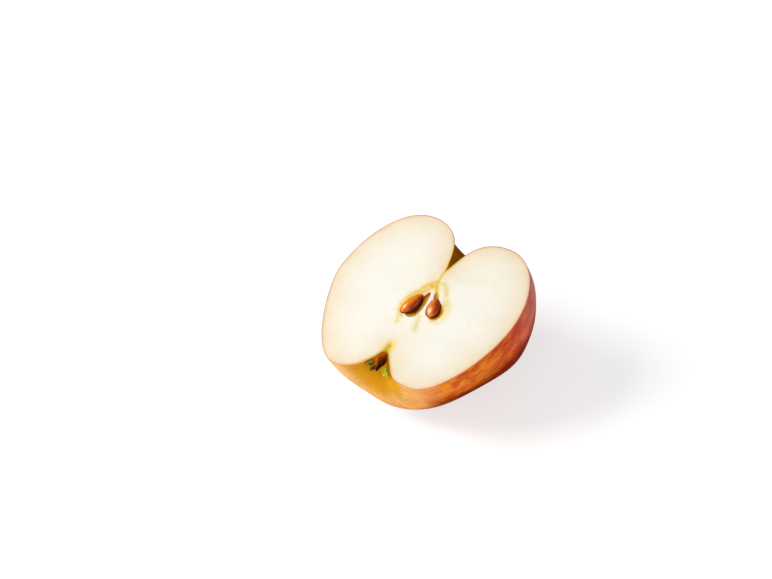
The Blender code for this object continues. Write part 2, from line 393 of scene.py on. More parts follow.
@dataclass(frozen=True)
class FruitForm:
    """The fruit's shape: cut outline left and right, and how the skin runs round the back."""

    left: SideOutline
    right: SideOutline
    pit_height: float = 13.0
    cap_height: float = -21.6
    back_depth: float = 0.97
    shoulder_drop: float = 4.0
    shoulder_heights: tuple[float, float] = (5.0, 30.0)
    early_drop_share: float = 0.5
    early_drop_sine: float = 0.42
    crest_drop: float = 0.6
    rib_height: float = 0.3
    rib_count: int = 5
    rib_phase: float = math.radians(-90.0)
    rib_depths: tuple[float, float] = (16.0, 28.0)
    rib_radii: tuple[float, float] = (0.0, 12.0)
    cheek_flat: float = 0.045
    cheek_flat_angle: float = math.radians(47.0)
    cheek_flat_spread: float = math.radians(24.0)
    cheek_flat_height: float = -17.0
    cheek_flat_reach: float = 12.0
    cavity_lean: float = 0.34
    basin_lean: float = 0.50
    tilt: float = math.radians(17.0)
    flat_spot: float = 0.5
    span_rows: tuple[int, ...] = (34, 46, 60, 40, 8)

    def profile(self, side: SideOutline, inset: float = 0.0) -> np.ndarray:
        """Run from the stem pit over shoulder, girth and crest to the calyx mouth's roof.

        Args:
            side: the outline's anchors.
            inset: how far inside the skin the run lies.

        Returns:
            Distance from the axis and height, one row a point.
        """
        shoulder_r, shoulder_y = side.shoulder
        girth_r, girth_y = side.girth
        crest_r, crest_y = side.crest
        mouth_r, mouth_y = side.mouth
        spans = (
            ((0.0, self.pit_height),
             (side.cavity_wall * shoulder_r * self.cavity_lean,
              self.pit_height + side.cavity_wall * (shoulder_y - self.pit_height)),
             (shoulder_r * (1 - side.shoulder_inner), shoulder_y), side.shoulder),
            (side.shoulder,
             (shoulder_r + side.shoulder_outer * (girth_r - shoulder_r), shoulder_y),
             (girth_r, girth_y + side.cheek_upper * (shoulder_y - girth_y)), side.girth),
            (side.girth,
             (girth_r, girth_y - side.cheek_lower * (girth_y - crest_y)),
             (crest_r + side.crest_outer * (girth_r - crest_r), crest_y), side.crest),
            (side.crest,
             (crest_r - side.crest_inner * (crest_r - mouth_r), crest_y),
             (mouth_r + side.basin_wall * self.basin_lean * (crest_r - mouth_r),
              mouth_y - side.basin_wall * (mouth_y - crest_y)), side.mouth),
            (side.mouth, (mouth_r * 0.85, mouth_y + 0.5), (mouth_r * 0.5, self.cap_height),
             (0.0, self.cap_height)),
        )
        runs = []
        for points, rows in zip(spans, self.span_rows):
            start, first, second, end = (np.array(point) for point in points)
            t = np.linspace(0.0, 1.0, rows + 1)[:, None]
            run = ((1 - t) ** 3 * start + 3 * (1 - t) ** 2 * t * first
                   + 3 * (1 - t) * t ** 2 * second + t ** 3 * end)
            runs.append(run if not runs else run[1:])
        run = np.vstack(runs)
        if inset:
            ahead = np.gradient(run, axis=0)
            ahead /= np.linalg.norm(ahead, axis=1, keepdims=True)
            run = run + inset * np.stack([ahead[:, 1], -ahead[:, 0]], axis=1)
            run[0] = (0.0, self.pit_height - inset * 3.0)
            run[-1] = (0.0, self.cap_height + inset)
            run[:, 0] = np.maximum(run[:, 0], 0.0)
        return run

    def skin(self, columns: int, inset: float = 0.0) -> tuple[np.ndarray, np.ndarray]:
        """Skin points by column, from the right edge of the cut round the back to the left edge.

        Args:
            columns: how many strips the half turn is divided into.
            inset: how far inside the skin the points lie.

        Returns:
            The grid of points, and the angle of each column.
        """
        right = self.profile(self.right, inset)
        left = self.profile(self.left, inset)
        around = np.linspace(0.0, math.pi, columns + 1)
        share = ((1 + np.cos(around)) / 2)[:, None]
        radius = share * right[:, 0] + (1 - share) * left[:, 0]
        height = share * right[:, 1] + (1 - share) * left[:, 1]
        back = (np.sin(around) ** 2)[:, None]
        early = smooth_step(np.sin(around), 0.0, self.early_drop_sine)[:, None]
        early = np.where(around[:, None] > math.pi / 2, early, back)
        sunk = self.early_drop_share * early + (1 - self.early_drop_share) * back
        height = height - self.shoulder_drop * sunk * smooth_step(height, *self.shoulder_heights)
        beside = np.exp(-((around - self.cheek_flat_angle) / self.cheek_flat_spread) ** 2)[:, None]
        level = np.exp(-((height - self.cheek_flat_height) / self.cheek_flat_reach) ** 2)
        radius = radius * (1 - self.cheek_flat * beside * level)
        rib = self.rib_height * np.cos(self.rib_count * around + self.rib_phase)[:, None]
        low = smooth_step(-height, *self.rib_depths) * smooth_step(radius, *self.rib_radii)
        height = height - (rib + self.crest_drop) * back * low
        across = radius * np.cos(around)[:, None]
        out = -radius * np.sin(around)[:, None] * self.back_depth
        grid = np.stack([across, height, out], axis=-1)
        grid[0, :, 2] = 0.0
        grid[-1, :, 2] = 0.0
        return grid, around

    def matrix(self) -> Matrix:
        """From the fruit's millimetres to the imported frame, which lies on the flat spot."""
        points = self.skin(60)[0].reshape(-1, 3) * MM
        along = points[:, 1] * math.cos(self.tilt) - points[:, 2] * math.sin(self.tilt)
        up = points[:, 1] * math.sin(self.tilt) + points[:, 2] * math.cos(self.tilt)
        middle_x = (points[:, 0].min() + points[:, 0].max()) / 2
        middle_y = (along.min() + along.max()) / 2
        move = Matrix.Translation((-middle_x, -middle_y, -up.min() - self.flat_spot * MM))
        return move @ Matrix.Rotation(self.tilt, 4, "X") @ Matrix.Scale(MM, 4)


@dataclass(frozen=True)
class Drop:
    """A teardrop lying in the cut face: a seed or the cell that holds one."""

    length: float
    width: float
    thickness: float
    centre: tuple[float, float, float]
    turn: float
    roll: float = 0.0
    blunt_power: float = 0.46
    tip_power: float = 0.72

    def half_width(self, along: np.ndarray) -> np.ndarray:
        """Half of the outline as a share of the width, from the blunt end 0 to the tip 1."""
        peak = self.blunt_power / (self.blunt_power + self.tip_power)
        top = peak ** self.blunt_power * (1 - peak) ** self.tip_power
        held = np.clip(along, 0.0, 1.0)
        return held ** self.blunt_power * (1 - held) ** self.tip_power / top / 2

    def place(self) -> Matrix:
        """From the teardrop's own axes to the fruit's frame."""
        turn = Matrix.Rotation(math.radians(self.turn), 4, "Z")
        roll = Matrix.Rotation(math.radians(self.roll), 4, "X")
        return Matrix.Translation(self.centre) @ turn @ roll

    def local(self, flat: np.ndarray) -> tuple[np.ndarray, np.ndarray]:
        """Coordinates of face points along the teardrop's axis, 0 to 1, and across it in mm."""
        angle = math.radians(self.turn)
        east = flat[:, 0] - self.centre[0]
        north = flat[:, 1] - self.centre[1]
        along = (east * math.cos(angle) + north * math.sin(angle)) / self.length + 0.5
        across = -east * math.sin(angle) + north * math.cos(angle)
        return along, across

    def hollow(self, flat: np.ndarray) -> np.ndarray:
        """Depth in millimetres that the teardrop leaves in the cut face, for rows of x and y."""
        along, across = self.local(flat)
        half = self.half_width(along)
        reach = np.maximum(half * self.width, 1e-6)
        share = np.abs(across) / reach
        depth = self.thickness * half * np.sqrt(np.clip(1 - share ** 2, 0.0, 1.0)) - self.centre[2]
        inside = (share < 1.0) & (along > 0.0) & (along < 1.0)
        return np.where(inside, np.maximum(depth, 0.0), 0.0)


def line_mask(flat: np.ndarray, line: tuple[tuple[float, float], ...], width: float) -> np.ndarray:
    """Soft mask along a line drawn on the cut face.

    Args:
        flat: x and y of points in the cut face.
        line: corners of the line.
        width: distance in millimetres at which the mask has faded.

    Returns:
        A value from 0 to 1 for each point.
    """
    nearest = np.full(len(flat), 1e9)
    for start, end in zip(line, line[1:]):
        first = np.array(start)
        step = np.array(end) - first
        share = np.clip((flat - first) @ step / (step @ step), 0.0, 1.0)
        gap = flat - first - share[:, None] * step
        nearest = np.minimum(nearest, np.linalg.norm(gap, axis=1))
    return np.exp(-(nearest / width) ** 2)


@dataclass(frozen=True)
class Spot:
    """A soft oval patch on the cut face."""

    centre: tuple[float, float]
    reach: tuple[float, float]
    power: int = 2

    def mask(self, flat: np.ndarray) -> np.ndarray:
        """Strength of the patch, 0 to 1, for rows of x and y."""
        return np.exp(-np.linalg.norm((flat - self.centre) / self.reach, axis=1) ** self.power)


@dataclass(frozen=True)
class CutFleshFinish:
    """Raw fruit flesh, cut with a knife: pale, wet cells that let light in a little way."""

    name: str = "raw_flesh_knife_cut"
    middle: str = "#fdf9ee"
    outer: str = "#f1d8ac"
    under_skin: str = "#f4d0a8"
    yellow: str = "#f2dc5c"
    golden: str = "#f0ac00"
    olive: str = "#a89c28"
    cell_wall: str = "#e0a000"
    # The last two layers are painted shade: brown on the cell floor round the crease, partly the lining's
    # own colour, and dark in the crease itself
    cell_floor_brown_and_shade: str = "#a85806"
    crease_shade: str = "#7a2c04"
    tube: str = "#e8c400"
    cell_size_mm: float = 0.45
    mottle_mm: float = 5.0

    def material(self) -> bpy.types.Material:
        """Build the shader."""
        material, tree, shader = start_finish(self.name)
        place = add_node(tree, "ShaderNodeTexCoord").outputs["Object"]
        mottle = add_node(tree, "ShaderNodeTexNoise", {
            "Vector": place, "Scale": 1 / (self.mottle_mm * MM), "Detail": 4.0, "Roughness": 0.6})
        cells = add_node(tree, "ShaderNodeTexNoise", {
            "Vector": place, "Scale": 1 / (self.cell_size_mm * MM), "Detail": 3.0, "Roughness": 0.6})
        # Cut cells hold juice, so the gloss breaks up at the size of the cells
        gloss = add_node(tree, "ShaderNodeMapRange", {
            "Value": cells.outputs["Fac"],
            "From Min": 0.35, "From Max": 0.65, "To Min": 0.34, "To Max": 0.58})
        bump = add_node(tree, "ShaderNodeBump", {
            "Height": cells.outputs["Fac"], "Strength": 0.35, "Distance": 0.12 * MM})
        # The lining of the seed cells is parchment, drier than the flesh round it
        lining = add_node(tree, "ShaderNodeAttribute", attribute_name="cell_wall").outputs["Fac"]
        wet = add_node(tree, "ShaderNodeMix", {
            MIX_FACTOR: lining, MIX_NUMBER_A: 0.3, MIX_NUMBER_B: 0.04}, data_type="FLOAT")
        feed(tree, shader, {
            "Base Color": self.layered_colour(tree, mottle.outputs["Fac"]),
            "Roughness": gloss.outputs["Result"],
            "Normal": bump.outputs["Normal"],
            "IOR": 1.36,
            "Specular IOR Level": wet.outputs[MIX_NUMBER_RESULT],
            "Subsurface Weight": 0.25,
            "Subsurface Radius": (1.0, 0.75, 0.45),
            "Subsurface Scale": 1.6 * MM,
        })
        return material

    def layered_colour(self, tree: bpy.types.NodeTree, mottle: bpy.types.NodeSocket) -> bpy.types.NodeSocket:
        """Lay the core's colours over the flesh.

        Args:
            tree: the material's node tree.
            mottle: soft noise that breaks up each layer.

        Returns:
            The socket with the finished colour.
        """
        layers = (
            ("outer", self.outer, 0.35),
            ("under_skin", self.under_skin, 0.2),
            ("yellow", self.yellow, 0.35),
            ("golden", self.golden, 0.35),
            ("olive", self.olive, 0.5),
            ("tube", self.tube, 0.3),
            ("cell_wall", self.cell_wall, 0.2),
            ("cell_floor_brown_and_shade", self.cell_floor_brown_and_shade, 0.3),
            ("crease_shade", self.crease_shade, 0.2),
        )
        coats = []
        for name, tint, broken in layers:
            share = broken_mask(tree, name, mottle, (0.3, 0.7), (1 - broken, 1.0))
            coats.append((share, linear(tint)))
        return lay_coats(tree, linear(self.middle), coats)


@dataclass
class CutFlesh:
    """The flesh body: the cut face with its core, and the hidden back under the peel."""

    form: FruitForm
    cells: tuple[Drop, ...]
    peel_thickness: float = 0.22
    back_columns: int = 24
    hub: tuple[float, float] = (0.2, -4.0)
    fine_rings: int = 96
    fine_reach: float = 13.0
    coarse_rings: int = 56
    relief_fade: float = 0.8
    lowest: float = 0.0004
    tube_line: tuple[tuple[float, float], ...] = ((-0.1, -18.9), (-0.3, -21.4))
    stem_line: tuple[tuple[float, float], ...] = (
        (0.0, 13.2), (-0.1, 11.5), (0.3, 9.2), (0.5, 8.0), (1.5, 6.2), (2.4, 5.0))
    left_line: tuple[tuple[float, float], ...] = (
        (0.0, 8.6), (-2.2, 6.9), (-3.4, 4.8), (-5.0, 2.3), (-6.6, -0.6), (-7.0, -3.2), (-6.2, -6.0),
        (-4.9, -8.0), (-4.0, -9.8))
    stain_line: tuple[tuple[float, float], ...] = (
        (-1.6, 4.4), (-3.4, 2.4), (-5.4, -0.6), (-5.8, -3.4), (-5.2, -5.4))
    right_line: tuple[tuple[float, float], ...] = (
        (1.0, 8.6), (3.4, 8.6), (5.0, 7.2), (6.4, 5.4), (8.4, 3.4), (10.6, 1.4), (11.6, -1.5), (10.6, -5.0))
    tail_line: tuple[tuple[float, float], ...] = ((2.4, -5.6), (3.2, -7.4), (4.3, -10.4))
    vein_line: tuple[tuple[float, float], ...] = ((6.0, 11.5), (13.0, 14.0), (21.5, 15.6))
    crease_line: tuple[tuple[float, float], ...] = (
        (0.2, 3.9), (-0.7, 2.8), (-1.2, 1.0), (-1.3, -2.0), (-1.3, -4.0))
    fleck_line: tuple[tuple[float, float], ...] = ((-5.0, -7.2), (-3.9, -7.8))
    # Stained places round the two seed cells
    patch: Spot = Spot((-0.7, 6.3), (1.7, 1.1))
    glow: Spot = Spot((-0.8, 7.0), (2.6, 2.2))
    fan: Spot = Spot((-2.4, 4.0), (2.4, 2.2))
    halo: Spot = Spot((8.6, -0.6), (3.9, 4.4), 4)
    tail: Spot = Spot((-4.2, -7.4), (2.2, 2.2))
    right_rim: Spot = Spot((8.0, -0.9), (2.1, 4.0))
    right_rim_core: Spot = Spot((8.0, -1.2), (2.2, 4.3), 4)

    def relief(self, flat: np.ndarray) -> np.ndarray:
        """Height of the cut face over its plane, in millimetres, for rows of x and y."""
        height = 0.05 * waves(flat, length=14.0, count=7, seed=3)
        height += 0.018 * waves(flat, length=2.4, count=9, seed=4)
        height -= np.max([cell.hollow(flat) for cell in self.cells], axis=0)
        # Depth and half width of each groove in millimetres
        for line, depth, width in (
                (self.stem_line, 0.12, 0.45),
                (self.left_line, 0.08, 0.5),
                (self.tube_line, 0.7, 0.9),
                (self.crease_line, 0.25, 0.25)):
            height -= depth * line_mask(flat, line, width)
        return height

    def masks(self, flat: np.ndarray, edge: np.ndarray) -> dict[str, np.ndarray]:
        """Where each colour of the cut face lies.

        Args:
            flat: x and y of the face points.
            edge: their distance from the skin.

        Returns:
            A value from 0 to 1 for each point, by layer.
        """
        crease = line_mask(flat, self.crease_line, 0.28)
        floor = line_mask(flat, self.crease_line, 1.1)
        hollow = np.max([cell.hollow(flat) for cell in self.cells], axis=0)
        deep = smooth_step(hollow, 0.02, 0.3)
        beside_left = line_mask(flat, self.stain_line, 1.3)
        stem = line_mask(flat, self.stem_line, 1.0)
        cavity = np.exp(-(edge / 0.5) ** 2) * smooth_step(flat[:, 1], 12.0, 14.0)
        cavity *= smooth_step(-np.abs(flat[:, 0]), -7.0, -3.0)
        calyx = np.exp(-(edge / 0.6) ** 2) * smooth_step(-flat[:, 1], 20.0, 23.0)
        calyx *= smooth_step(-np.abs(flat[:, 0]), -11.0, -4.0)
        yellow = np.maximum.reduce([
            0.8 * calyx,
            0.95 * stem,
            0.95 * line_mask(flat, self.left_line[:7], 1.25),
            0.75 * line_mask(flat, self.left_line[6:], 1.2),
            0.9 * self.glow.mask(flat),
            0.6 * self.fan.mask(flat),
            beside_left,
            0.8 * self.right_rim.mask(flat),
            0.45 * self.halo.mask(flat),
            0.45 * self.tail.mask(flat),
            0.55 * line_mask(flat, self.right_line, 1.2),
            0.42 * line_mask(flat, self.tail_line, 1.6),
            0.16 * line_mask(flat, self.vein_line, 1.1),
            0.75 * line_mask(flat, self.tube_line, 2.0),
            0.9 * cavity,
        ])
        golden = np.maximum.reduce([
            self.patch.mask(flat),
            0.65 * line_mask(flat, self.left_line[:3], 0.8),
            0.25 * line_mask(flat, self.left_line[3:6], 0.7),
            0.65 * beside_left,
            0.75 * self.right_rim_core.mask(flat),
            0.45 * stem * smooth_step(-flat[:, 1], -9.0, -6.5),
            0.35 * cavity,
            0.4 * calyx,
        ])
        olive = np.maximum.reduce([
            0.55 * line_mask(flat, self.stem_line, 0.28),
            0.22 * line_mask(flat, self.right_line[:4], 0.7),
            0.26 * line_mask(flat, self.tail_line, 0.8),
            0.14 * line_mask(flat, self.left_line[2:5], 0.6),
            0.45 * line_mask(flat, self.fleck_line, 0.45),
            0.35 * calyx * smooth_step(-flat[:, 0], 0.0, 2.0),
        ])
        return {
            "outer": 0.95 * np.exp(-edge / 7.0),
            "under_skin": 0.9 * np.exp(-(edge / 0.7) ** 2),
            "yellow": yellow,
            "golden": golden,
            "olive": olive,
            "tube": line_mask(flat, self.tube_line, 1.8),
            "cell_wall": deep,
            # Painted shade on the floor round the crease and in the crease
            "cell_floor_brown_and_shade": deep * floor,
            "crease_shade": deep * crease,
        }

    def build(self, matrix: Matrix, finish: CutFleshFinish) -> bpy.types.Object:
        """Make the flesh and dress it.

        Args:
            matrix: from the fruit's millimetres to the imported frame.
            finish: the flesh's finish.

        Returns:
            The piece.
        """
        draft = MeshDraft.empty()
        grid, _ = self.form.skin(self.back_columns, self.peel_thickness)
        loop = draft.add_half_skin(grid)
        rim = draft.all_points()[loop][:, :2]

        hub = np.array(self.hub)
        spoke = rim - hub
        reach = np.linalg.norm(spoke, axis=1)
        start = np.minimum(self.fine_reach, 0.7 * reach)
        fine = np.linspace(0.0, 1.0, self.fine_rings + 1)[1:] * self.fine_reach
        rings = []
        for distance in fine:
            rings.append(hub + spoke / reach[:, None] * (start * distance / self.fine_reach)[:, None])
        for step in range(1, self.coarse_rings):
            share = step / self.coarse_rings
            rings.append(hub + spoke / reach[:, None] * (start + (reach - start) * share)[:, None])
        flat = np.vstack([hub[None, :]] + rings)
        height = self.relief(flat)
        tree = KDTree(len(rim))
        for place, (east, north) in enumerate(rim):
            tree.insert((east, north, 0.0), place)
        tree.balance()
        edge = np.array([tree.find((east, north, 0.0))[2] for east, north in flat])
        height *= smooth_step(edge, 0.0, self.relief_fade)
        face = draft.add_points(np.column_stack([flat, height]))
        middle = int(face[0])
        ring_numbers = face[1:].reshape(len(rings), len(rim))
        whole = np.vstack([ring_numbers, loop[None, :]])
        closed = np.hstack([whole, whole[:, :1]])
        draft.add_grid(closed)
        draft.add_fan(middle, closed[0], flip=True)

        total = len(draft.all_points())
        values = {}
        for key, mask in self.masks(flat, edge).items():
            values[key] = np.zeros(total)
            values[key][face] = mask
        values["outer"][loop] = 0.9
        values["under_skin"][loop] = 1.0
        piece = draft.build("cut_flesh", matrix, self.lowest, values)
        hand_over(piece, Slot.FLESH, finish.material(), "fruit_half")
        return piece


@dataclass(frozen=True)
class PeelFinish:
    """Waxy fruit skin: a yellow ground under red streaks that run from stem to calyx."""

    name: str = "waxy_peel_streaked"
    # Stops along the meridian, from the stem pit at 0 to the calyx at 1
    ground: tuple[tuple[float, str], ...] = (
        (0.00, "#f0d040"),
        (1.00, "#d89c00"),
        (0.03, "#d89828"),
        (0.08, "#bc7618"),
        (0.15, "#9c6014"),
        (0.24, "#a85a1c"),
        (0.32, "#d07c70"),
        (0.43, "#d86848"),
        (0.53, "#dc641c"),
        (0.62, "#e47e14"),
        (0.75, "#e88e20"),
        (0.80, "#ecaa62"),
        (0.85, "#ecb06c"),
        (0.88, "#dc9a24"),
        (0.93, "#d89404"),
    )
    streak: tuple[tuple[float, str], ...] = (
        (0.00, "#e0b030"),
        (1.00, "#bc8400"),
        (0.03, "#b87018"),
        (0.10, "#8c4a0a"),
        (0.20, "#7c3c0c"),
        (0.32, "#ac4448"),
        (0.42, "#c0503c"),
        (0.54, "#b42a06"),
        (0.74, "#c4440c"),
        (0.80, "#e08446"),
        (0.85, "#e0a050"),
        (0.90, "#c8861a"),
    )
    # Partly the skin's own red and partly painted shade, deeper where the skin turns under the cut
    blush_and_shade: str = "#6e1606"
    pale: str = "#f0bc80"
    cut_edge: str = "#ee9c74"
    lenticel: str = "#eebcae"
    scuff: str = "#8a7a40"
    streak_width_mm: float = 0.95
    streak_length_mm: float = 3.6
    fine_width_mm: float = 0.42
    fine_length_mm: float = 1.5
    blotch_mm: float = 5.0
    cloud_mm: float = 12.0
    speck_mm: float = 0.7
    lenticel_gap_mm: float = 1.5

    def material(self) -> bpy.types.Material:
        """Build the shader."""
        material, tree, shader = start_finish(self.name)
        value = {}
        for name in ("around_mm", "along_mm", "share", "cut_edge", "russet"):
            value[name] = add_node(tree, "ShaderNodeAttribute", attribute_name=name).outputs["Fac"]
        run = add_node(tree, "ShaderNodeCombineXYZ", {"X": value["around_mm"], "Y": value["along_mm"]})
        broad = self.streaks(tree, run.outputs[0], self.streak_width_mm, self.streak_length_mm)
        fine = self.streaks(tree, run.outputs[0], self.fine_width_mm, self.fine_length_mm)
        place = add_node(tree, "ShaderNodeTexCoord").outputs["Object"]
        blotch = add_node(tree, "ShaderNodeTexNoise", {
            "Vector": place, "Scale": 1 / (self.blotch_mm * MM), "Detail": 2.0, "Roughness": 0.5})
        cloud = add_node(tree, "ShaderNodeTexNoise", {
            "Vector": place, "Scale": 1 / (self.cloud_mm * MM), "Detail": 3.0, "Roughness": 0.55})
        specks = add_node(tree, "ShaderNodeTexNoise", {
            "Vector": place, "Scale": 1 / (self.speck_mm * MM), "Detail": 4.0, "Roughness": 0.65})
        dots = add_node(tree, "ShaderNodeTexVoronoi", {
            "Vector": place, "Scale": 1 / (self.lenticel_gap_mm * MM), "Randomness": 1.0})
        lines = add_node(tree, "ShaderNodeMix", {
            MIX_FACTOR: 0.42, MIX_NUMBER_A: broad, MIX_NUMBER_B: fine}, data_type="FLOAT")
        both = add_node(tree, "ShaderNodeMix", {
            MIX_FACTOR: 0.34,
            MIX_NUMBER_A: lines.outputs[MIX_NUMBER_RESULT],
            MIX_NUMBER_B: blotch.outputs["Fac"]}, data_type="FLOAT")
        ripeness = both.outputs[MIX_NUMBER_RESULT]

        # The borders between the zones wander with the streaks, as ripening does
        drift = add_node(tree, "ShaderNodeMath", {0: ripeness, 1: 0.10, 2: -0.05}, operation="MULTIPLY_ADD")
        share = add_node(tree, "ShaderNodeMath", {0: value["share"], 1: drift.outputs[0]}, operation="ADD")
        ground = add_node(tree, "ShaderNodeValToRGB", {"Fac": share.outputs[0]}, stops=self.ground)
        streak = add_node(tree, "ShaderNodeValToRGB", {"Fac": share.outputs[0]}, stops=self.streak)
        level = add_node(tree, "ShaderNodeMapRange", {
            "Value": ripeness, "From Min": 0.41, "From Max": 0.565, "To Min": 0.0, "To Max": 0.88},
            interpolation_type="SMOOTHSTEP")
        layers = (
            ("blush_and_shade", self.blush_and_shade, ripeness, (0.38, 0.58), (0.75, 1.0)),
            ("pale", self.pale, cloud.outputs["Fac"], (0.38, 0.58), (0.7, 1.0)),
            ("scuff", self.scuff, specks.outputs["Fac"], (0.50, 0.62), (0.0, 0.8)),
            ("waxed", self.lenticel, dots.outputs["Distance"], (0.05, 0.14), (0.5, 0.0)),
        )
        coats = [(level.outputs["Result"], streak.outputs["Color"])]
        for name, tint, grain, span, levels in layers:
            coats.append((broken_mask(tree, name, grain, span, levels), linear(tint)))
        coats.append((value["cut_edge"], linear(self.cut_edge)))

        # Wax lies unevenly, so the sheen is broken up by the grain of the skin, and russet has none
        gloss = add_node(tree, "ShaderNodeMapRange", {
            "Value": specks.outputs["Fac"],
            "From Min": 0.3, "From Max": 0.7, "To Min": 0.34, "To Max": 0.54})
        dull = add_node(tree, "ShaderNodeMix", {
            MIX_FACTOR: value["russet"],
            MIX_NUMBER_A: gloss.outputs["Result"],
            MIX_NUMBER_B: 0.95}, data_type="FLOAT")
        sheen = add_node(tree, "ShaderNodeMix", {
            MIX_FACTOR: value["russet"], MIX_NUMBER_A: 0.10, MIX_NUMBER_B: 0.0}, data_type="FLOAT")
        bump = add_node(tree, "ShaderNodeBump", {
            "Height": specks.outputs["Fac"], "Strength": 0.3, "Distance": 0.07 * MM})
        feed(tree, shader, {
            "Base Color": lay_coats(tree, ground.outputs["Color"], coats),
            "Roughness": dull.outputs[MIX_NUMBER_RESULT],
            "Specular IOR Level": sheen.outputs[MIX_NUMBER_RESULT],
            "Specular Tint": linear("#ffb8a0"),
            "Normal": bump.outputs["Normal"],
            "IOR": 1.36,
            "Subsurface Weight": 0.06,
            "Subsurface Radius": (1.0, 0.45, 0.2),
            "Subsurface Scale": 0.8 * MM,
        })
        return material

    def streaks(self, tree: bpy.types.NodeTree, run: bpy.types.NodeSocket, width: float,
                length: float) -> bpy.types.NodeSocket:
        """Noise drawn out along the meridians.

        Args:
            tree: the material's node tree.
            run: millimetres round the girth and along the meridian.
            width: width of a streak in millimetres.
            length: its length in millimetres.

        Returns:
            The noise value.
        """
        # Noise of scale 1 has patches about half a unit wide
        stretch = add_node(tree, "ShaderNodeMapping", {
            "Vector": run, "Scale": (0.5 / width, 0.5 / length, 1.0)})
        noise = add_node(tree, "ShaderNodeTexNoise", {
            "Vector": stretch.outputs[0], "Scale": 1.0, "Detail": 4.0, "Roughness": 0.62, "Distortion": 0.6})
        return noise.outputs["Fac"]


@dataclass
class Peel:
    """The skin as a thin closed shell round the flesh, open only at the cut face."""

    form: FruitForm
    thickness: float = 0.22
    clearance: float = 0.02
    columns: int = 220
    girth_mm: float = 38.0
    swell_share: float = 0.006
    scuff_centre: tuple[float, float, float] = (10.0, -31.5, -9.0)
    scuff_reach: float = 4.5

    def build(self, matrix: Matrix, finish: PeelFinish) -> bpy.types.Object:
        """Make the peel and dress it.

        Args:
            matrix: from the fruit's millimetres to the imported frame.
            finish: the peel's finish.

        Returns:
            The piece.
        """
        draft = MeshDraft.empty()
        outer, around = self.form.skin(self.columns)
        outer = self.uneven(outer, around)
        # The inner face stays just clear of the flesh, so the two never share a surface
        inner, _ = self.form.skin(self.columns, self.thickness - self.clearance)
        rims = (draft.add_half_skin(outer), draft.add_half_skin(inner, flip=True))
        draft.add_grid(np.vstack([np.append(rim, rim[0]) for rim in rims]))
        piece = draft.build("peel", matrix, 0.0, self.values(outer, around))
        hand_over(piece, Slot.PEEL, finish.material(), "fruit_half")
        return piece

    def uneven(self, grid: np.ndarray, around: np.ndarray) -> np.ndarray:
        """Soft dents and swellings of a grown skin, none at the cut edge."""
        swell = waves(grid.reshape(-1, 3), length=21.0, count=9, seed=11).reshape(grid.shape[:2])
        window = smooth_step(np.sin(around), 0.0, 0.35)[:, None]
        window = window * smooth_step(np.hypot(grid[..., 0], grid[..., 2]), 4.0, 16.0)
        scale = 1 + self.swell_share * swell * window
        result = grid.copy()
        result[..., 0] *= scale
        result[..., 2] *= scale
        return result

    def values(self, outer: np.ndarray, around: np.ndarray) -> dict[str, np.ndarray]:
        """Surface values for the shader: place on the skin and where each colour lies.

        Args:
            outer: grid of outer skin points, whose values the inner ones share.
            around: angle of each column.

        Returns:
            A number for each vertex, by name.
        """
        step = np.linalg.norm(np.diff(outer, axis=1), axis=2)
        along = np.concatenate([np.zeros((len(outer), 1)), np.cumsum(step, axis=1)], axis=1)
        share = along / along[:, -1:]
        angle = np.repeat(around[:, None], outer.shape[1], axis=1)
        radius = np.hypot(outer[..., 0], outer[..., 2])
        to_cut = radius * np.minimum(angle, math.pi - angle)
        cheek = band(share, (0.26, 0.40), (0.74, 0.82))
        underside = smooth_step(angle, 0.9, 1.5) * band(share, (0.70, 0.78), (0.80, 0.86))
        left = smooth_step(angle, 1.7, 3.0)
        low_left = smooth_step(angle, 2.0, 2.9) * band(share, (0.72, 0.80), (0.85, 0.90))
        pit = smooth_step(-share, -0.26, -0.16)
        basin = smooth_step(share, 0.80, 0.88)
        # The flank below the cut keeps its wax bloom, which is as dull as russet
        bloom = 0.85 * band(angle, (0.22, 0.42), (1.1, 1.7))
        scuff_gap = np.linalg.norm(outer - self.scuff_centre, axis=2)
        fields = {
            "around_mm": angle * self.girth_mm,
            "along_mm": along,
            "share": share,
            # Blush with painted shade: deeper red where the skin turns under the cut and on the underside,
            # less on the left
            "blush_and_shade": cheek * smooth_step(angle, 0.26, 0.50) * (1 - 0.5 * left) + 0.16 * underside,
            "pale": 0.85 * low_left,
            "cut_edge": 0.55 * np.exp(-(to_cut / 0.35) ** 2) * smooth_step(radius, 1.5, 4.0),
            "waxed": band(share, (0.2, 0.35), (0.42, 0.56)),
            "russet": np.maximum.reduce([pit, basin, bloom]),
            "scuff": np.exp(-(scuff_gap / self.scuff_reach) ** 2),
        }
        values = {}
        for key, field_values in fields.items():
            flat = np.concatenate([field_values[:, 1:-1].ravel(), field_values[0, :1], field_values[0, -1:]])
            values[key] = np.concatenate([flat, flat])
        return values


